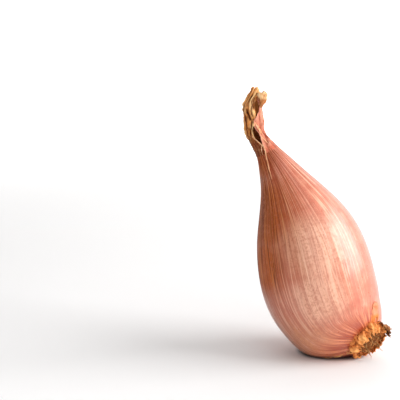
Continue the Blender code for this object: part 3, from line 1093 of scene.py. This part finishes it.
# Path as (height, degrees round the tube), width in degrees, depth in millimetres
LEFT_CREASES = [
    ([(0.66, 224), (0.72, 230), (0.78, 242), (0.84, 256)], 8, 1.1),
    ([(0.46, 246), (0.54, 235), (0.64, 222)], 8, 1.0),
    ([(0.20, 216), (0.28, 232), (0.38, 240)], 7, 0.6),
    ([(0.50, 264), (0.60, 258), (0.72, 268), (0.84, 280)], 6, 0.8),
    ([(0.30, 252), (0.40, 250), (0.50, 258)], 5, 0.6),
    ([(0.60, 274), (0.68, 278), (0.78, 290), (0.88, 300)], 6, 0.7),
    ([(0.26, 205), (0.40, 214), (0.58, 208)], 6, 0.6),
    ([(0.10, 194), (0.35, 198), (0.60, 200), (0.74, 206)], 7, 0.35),
]
LEAF_THICKNESS = 0.2
for path, width, depth in LEFT_CREASES:
    score(left_leaf, path, width, depth)
thicken(left_leaf, LEAF_THICKNESS)
finish_piece(left_leaf, golden_husk, "dry_husk", "neck_leaf_left")

# %% Right leaf
right_leaf = neck_leaf("leaf_right", RIGHT_EDGE, 60, 0, 11.5, 8.4, size=1.0, curl=0.2, tear=4)
wrinkle(right_leaf, 0.8, 1.9, 2.5, 8.4, quiet=0.2)
score(right_leaf, [(0.18, 334), (0.27, 330), (0.36, 325)], 7, 0.45)
score(right_leaf, [(0.10, 296), (0.2, 312), (0.28, 326)], 6, 0.35)
thicken(right_leaf, LEAF_THICKNESS)
finish_piece(right_leaf, pink_husk, "copper_skin", "neck_leaf_right")

# %% Inner leaf
inner_leaf = neck_leaf("leaf_inner", 350, 200, 1.5, 13, 15.7, size=0.84)
wrinkle(inner_leaf, 0.8, 2.3, 4.0, 15.7)
thicken(inner_leaf, LEAF_THICKNESS)
finish_piece(inner_leaf, inner_husk_with_bounce_light, "dark_husk", "neck_leaf_back")


# %% [markdown]
# ## The curled tip and the torn strands
#
# At the top one leaf curls over to a pale lip, and where the leaves split, narrow strands were
# pulled loose and dried nearly white. Hair would be simpler, but it has no flat side and isn't
# exported. So both are sheets too: the tip rolled most of the way round a short tube, and each
# strand a ribbon that follows a path on the neck or on the bulb.


# %% Curled tip
# x, y, z, half width and half depth in millimetres, lean in degrees, from its point upwards
CURLED_TIP = [
    (-24.3, 6.9, 82.0, 0.2, 0.2, -10),
    (-24.0, 6.8, 82.9, 0.6, 0.5, -12),
    (-23.8, 6.7, 83.9, 0.9, 0.8, -10),
    (-23.7, 6.7, 84.9, 1.2, 1.0, -5),
    (-23.9, 6.8, 85.9, 1.7, 1.2, 0),
    (-24.0, 7.0, 86.8, 1.6, 1.2, 5),
    (-24.1, 7.3, 87.5, 1.1, 0.9, 10),
]


def tip_place(u, v):
    v *= 0.95 + 0.07 * ragged(u, 2.2)
    row = [catmull(column, v * (len(CURLED_TIP) - 1)) for column in zip(*CURLED_TIP)]
    angle = 100 + 330 * u
    return on_ring(section([(*row, 0, 0)] * 2, 0), angle), math.radians(angle), v


curled_tip = lay_sheet("leaf_curled_tip", 40, 40, tip_place)
wrinkle(curled_tip, 0.6, 1.6, 3.0, 21.2)
thicken(curled_tip, LEAF_THICKNESS)
finish_piece(curled_tip, curled_husk, "dry_husk", "neck_hook")


# %% Torn strands
def bulb_point(place, angle, size=1.0):
    """A point of the bulb's skin at a fractional place in its table and an angle in degrees."""
    return on_ring(section(BULB_STATIONS, place), angle, size)


def strand(name, point_of, path, width, seed):
    """A narrow ribbon along a path on the neck or on the bulb."""

    def place_of(u, v):
        place, angle = (catmull(column, v * (len(path) - 1)) for column in zip(*path))
        taper = min(1, 6 * v, 2.5 * (1 - v)) ** 0.7
        angle += width * taper * (u - 0.5) + 1.5 * ragged(v, seed)
        return point_of(place, angle, 1.03 + 0.08 * taper), math.radians(angle), v

    ribbon = lay_sheet(name, 10, 60, place_of)
    wrinkle(ribbon, 0.3, 2.0, 3.0, seed)
    thicken(ribbon, 0.28)
    return ribbon


# What the strand follows, its path as (place, degrees), its width in degrees, its solid
STRANDS = [
    (
        neck_point,
        [(6.3, 273), (5.4, 282), (4.2, 296), (3.3, 289), (2.1, 297), (1.4, 300)],
        7,
        "neck_leaf_right",
    ),
    (neck_point, [(5.6, 285), (4.8, 296), (4.0, 304), (3.2, 300)], 5, "neck_leaf_right"),
    (neck_point, [(3.9, 241), (3.2, 247), (2.7, 256), (1.7, 264), (1.1, 268)], 6, "neck_leaf_left"),
    (
        bulb_point,
        [(13.0, 270), (12.6, 268), (12.1, 264), (11.5, 255), (10.9, 249), (10.3, 246)],
        4.5,
        "neck_sliver",
    ),
    (bulb_point, [(12.9, 264), (12.6, 256), (12.3, 249), (11.9, 244)], 4, "neck_sliver"),
]
pale_husk = make_husk(
    "pale_husk",
    Pale=(1.0, 0.68, 0.42, 1),
    Middle=(0.97, 0.50, 0.26, 1),
    Dark=(0.56, 0.18, 0.06, 1),
    Foot=(0.92, 0.42, 0.22, 1),
)
for number, (point_of, path, width, owner) in enumerate(STRANDS):
    ribbon = strand("torn_strand", point_of, path, width, 50.0 + number)
    finish_piece(ribbon, pale_husk, "dry_husk", owner)

# %% [markdown]
# ## The collar round the root plate
#
# Where the outermost skins were torn off, a crumpled collar of their feet is left round the
# root plate. Each flap is a sheet laid part of the way round the axis of the root end: it
# starts on the skin, bulges, and folds in over the plate. The dark one folds outwards.

# %% Collar flaps
root_out = -root_turn.col[2]
root_side = root_turn.col[0]
root_back = root_turn.col[1]
COLLAR_RADIUS = 6.2
# Name, first and last angle round the root; foot, length and lean-in in millimetres
COLLAR = [
    ("left", 204, 266, -1.3, 4.2, 2.0),
    ("front", 256, 322, -1.4, 4.6, 2.4),
    ("upper", 308, 374, -1.4, 4.6, 2.0),
    ("right", 346, 408, -0.8, 4.6, -1.0),
    ("back", 46, 118, -0.9, 3.6, 0.9),
    ("under", 112, 208, -0.7, 2.4, 0.6),
]


def root_point(angle, radius, outward):
    """A point by its angle round the root axis, its distance from it and its height on it."""
    turn = math.radians(angle)
    spread = math.cos(turn) * root_side + math.sin(turn) * root_back
    return root_centre + (spread * radius + root_out * outward) * MM


def collar_flap(name, first, last, foot, length, lean_in, seed):
    """A crumpled sheet that stands round part of the root end."""

    def place_of(u, v):
        v *= 0.86 + 0.26 * ragged(u, seed)
        angle = last + (first - last) * u + 2 * ragged(v, seed + 4)
        height = foot + length * v
        spread = 0.08 * (seed % 3) + 0.9 * math.sin(min(v, 1) * math.pi) - lean_in * v**2
        point = root_point(angle, COLLAR_RADIUS + spread, height)
        point.z = max(point.z, 0.3 * MM)
        return point, math.radians(angle), height / 20

    return lay_sheet("collar_" + name, 56, 32, place_of)


for number, row in enumerate(COLLAR):
    seed = 31.0 + 7 * number
    flap = collar_flap(*row, seed)
    wrinkle(flap, 1.3, 3.2, 7.0, seed, crumpled=0.7)
    thicken(flap, LEAF_THICKNESS)
    dark = row[0] == "right"
    finish = dark_husk if dark else root_husk
    finish_piece(flap, finish, "dark_husk" if dark else "dry_husk", "collar_flap_" + row[0])


# %% [markdown]
# ## The tongue and the fringe
#
# A narrow tongue of dry skin runs up from the collar, and low on the front a ragged edge of
# skin hangs free near the table. Both could be painted on, but they have an edge that lifts
# off and throws a shadow. So each is a thin sheet laid on the bulb, lifted towards its end.


# %% Tongue
def skin_scrap(name, across, along, seed, lift, tear):
    """A scrap of skin on the bulb: angles across, places along, lifted towards its end."""

    def place_of(u, v):
        v *= 1 - tear * (0.5 + ragged(u, seed))
        narrowing = 1 - 0.75 * max(v, 0) ** 1.5
        angle = sum(across) / 2 + (across[1] - across[0]) * (u - 0.5) * narrowing
        angle += 1.5 * ragged(v, seed + 2)
        place = along[0] + (along[1] - along[0]) * v
        point = bulb_point(place, angle, 1.005 + lift * v * v)
        point.z = max(point.z, 0.35 * MM)
        return point, math.radians(angle), v

    return lay_sheet(name, 36, 36, place_of)


tongue_husk = make_husk(
    "tongue_husk",
    Pale=(0.80, 0.34, 0.20, 1),
    Middle=(0.76, 0.27, 0.14, 1),
    Dark=(0.46, 0.12, 0.03, 1),
    Foot=(0.78, 0.24, 0.055, 1),
    Foot_Height=0.42,
)
tongue = skin_scrap("skin_tongue", (320, 350), (0.4, 2.9), 71.0, 0.012, 0.15)
wrinkle(tongue, 0.5, 3.0, 1.5, 71.0, quiet=0.3)
score(tongue, [(0.02, 341), (0.15, 342), (0.32, 340)], 3.5, 0.5)
thicken(tongue, LEAF_THICKNESS)
finish_piece(tongue, tongue_husk, "copper_skin", "skin_tongue")


# %% Fringe
def fringe_place(u, v):
    """Along the bulb with u, and with v out to the torn edge near the table."""
    place = 0.35 + 1.65 * u
    angle = 206 - 27 * v * (0.9 + 0.4 * ragged(u, 81.0))
    point = bulb_point(place, angle, 1.005 + 0.065 * v)
    point.z = max(point.z, 0.25 * MM)
    return point, math.radians(angle), 1 - v


fringe = lay_sheet("skin_fringe", 60, 24, fringe_place)
wrinkle(fringe, 0.9, 14.0, 4.0, 81.0, crumpled=0.5)
thicken(fringe, LEAF_THICKNESS)
fringe_husk = make_husk(
    "fringe_husk",
    Pale=(0.90, 0.52, 0.25, 1),
    Middle=(0.66, 0.28, 0.09, 1),
    Dark=(0.10, 0.02, 0.005, 1),
    Foot=(0.72, 0.33, 0.12, 1),
)
finish_piece(fringe, fringe_husk, "dry_husk", "skin_fringe")

# %% [markdown]
# ## Root plate and dry roots
#
# Inside the collar the plate is a corky, lumpy disc. A few roots were left on it and have
# dried to thin kinked strings. The disc is inset ring by ring and pushed into lumps; each
# root is a small ring extruded along a kinked path.


# %% Root plate
PLATE_RADIUS = 4.4 * MM
PLATE_RINGS = 5


def make_plate():
    """A disc inset ring by ring, pushed into lumps and given a thickness."""
    deselect()
    bpy.ops.mesh.primitive_circle_add(vertices=28, radius=PLATE_RADIUS, fill_type="NGON")
    plate = bpy.context.object
    plate.name = plate.data.name = "root_plate"
    plate.rotation_euler = (root_turn @ Matrix.Rotation(math.pi, 3, "X")).to_euler()
    plate.location = root_centre + root_out * 0.9 * MM
    bpy.ops.object.transform_apply(location=True, rotation=True, scale=True)
    bpy.ops.object.mode_set(mode="EDIT")
    bpy.ops.mesh.select_all(action="SELECT")
    for _ in range(PLATE_RINGS):
        bpy.ops.mesh.inset(thickness=0.75 * MM, depth=0.12 * MM)
    bpy.ops.mesh.poke()
    deselect()
    apply_modifier(plate, "SUBSURF", levels=3, render_levels=3)
    points = points_of(plate)
    normals = normals_of(plate)
    lumps = np.array([abs(noise.noise(Vector(point))) for point in points / (0.8 * MM)])
    grit = np.array([noise.noise(Vector(point)) for point in points / (0.25 * MM)])
    move_points(plate, points + normals * (1.1 * lumps + 0.15 * grit)[:, None] * MM)
    # Painted shade between the lumps
    write_value(plate, "crease_shade", np.clip(1 - lumps * 4, 0, 1))
    apply_modifier(plate, "SOLIDIFY", thickness=0.8 * MM, offset=-1.0)
    return plate


def make_cork():
    """Grainy brown cork, with painted shade between its lumps."""
    made, tree, shader = new_material("cork")
    place = put(tree, "TexCoord")["Object"]
    crease_shade = put(tree, "Attribute", attribute_name="crease_shade")["Fac"]
    cells = put(tree, "TexVoronoi", {"Vector": place, "Scale": 2600.0})["Distance"]
    stain = put(tree, "TexNoise", {"Vector": place, "Scale": 700.0, "Detail": 4.0})["Fac"]
    colour = mixed(tree, fade(tree, stain, 0.35, 0.65), (0.34, 0.11, 0.03, 1), (0.58, 0.27, 0.09, 1))
    # Painted shade between the lumps
    colour = mixed(tree, reckon(tree, "MULTIPLY", crease_shade, 0.8), colour, (0.10, 0.03, 0.008, 1))
    colour = mixed(tree, fade(tree, cells, 0.3, 0.7), colour, (0.20, 0.06, 0.015, 1))
    tree.links.new(colour, shader["Base Color"])
    shader["Specular IOR Level"].default_value = 0.15
    tree.links.new(reckon(tree, "MULTIPLY_ADD", stain, 0.2, 0.7), shader["Roughness"])
    bump = put(tree, "Bump", {"Height": cells, "Strength": 0.6, "Distance": 0.1 * MM})
    tree.links.new(bump["Normal"], shader["Normal"])
    return made


finish_piece(make_plate(), make_cork(), "corky_root", "root_plate")


# %% Dry roots
ROOT_SIDES = 8
ROOT_ROWS = 9


def make_root(name, angle, radius, length, thick, seed):
    """A thin string from the plate outwards, kinked by noise and drawn to a point."""
    start = root_point(angle, radius, 0.8)
    aim = (root_point(angle, radius * 1.6, 5.0) - start).normalized()
    places, stations = [], []
    for row in range(ROOT_ROWS):
        share = row / (ROOT_ROWS - 1)
        kink = Vector([noise.noise((share * 3, seed, axis * 7.0)) for axis in range(3)])
        droop = Vector((0, 0, -0.35 * share**2))
        point = start + (aim * share + kink * 0.35 * share + droop) * length * MM
        point.z = max(point.z, 0.35 * MM)
        places.append(point)
    for row, point in enumerate(places):
        ahead = places[min(row + 1, ROOT_ROWS - 1)] - places[max(row - 1, 0)]
        turn = ahead.to_track_quat("Z", "Y").to_matrix()
        size = thick * (1 - 0.75 * row / (ROOT_ROWS - 1)) * MM
        stations.append((point, turn, size, size * 0.8))
    root = first_ring(name, stations[0], ROOT_SIDES)
    mark_grain(root, stations[0], 0.0)
    for row, (before, after) in enumerate(zip(stations, stations[1:]), start=1):
        next_ring(before, after)
        mark_grain(root, after, row / (ROOT_ROWS - 1))
    bpy.ops.mesh.select_all(action="SELECT")
    bpy.ops.mesh.fill_holes(sides=0)
    bpy.ops.mesh.normals_make_consistent(inside=False)
    deselect()
    apply_modifier(root, "SUBSURF", levels=2, render_levels=2)
    wrinkle(root, 0.10, 2.0, 8.0, seed)
    return root


# Angle round the axis, distance from it, length and half thickness in millimetres
ROOTS = [
    (250, 2.4, 4.6, 0.34),
    (300, 2.0, 5.2, 0.30),
    (345, 2.6, 4.4, 0.32),
    (160, 2.2, 3.8, 0.30),
    (60, 2.0, 4.2, 0.28),
]
root_string = make_husk(
    "root_string",
    Pale=(0.66, 0.36, 0.14, 1),
    Middle=(0.46, 0.20, 0.065, 1),
    Dark=(0.14, 0.045, 0.012, 1),
    Foot=(0.30, 0.11, 0.03, 1),
)
for number, row in enumerate(ROOTS, start=1):
    root = make_root(f"root_{number}", *row, 90.0 + number)
    finish_piece(root, root_string, "corky_root", f"root_{number}")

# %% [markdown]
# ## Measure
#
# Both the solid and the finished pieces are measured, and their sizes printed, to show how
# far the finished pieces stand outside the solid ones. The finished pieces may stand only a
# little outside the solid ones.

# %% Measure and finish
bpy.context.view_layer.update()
for name, corners in (("solid", cad_bounds), ("finished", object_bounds())):
    print(name, "size in mm:", [round((b - a) * 1000, 1) for a, b in zip(*corners)])
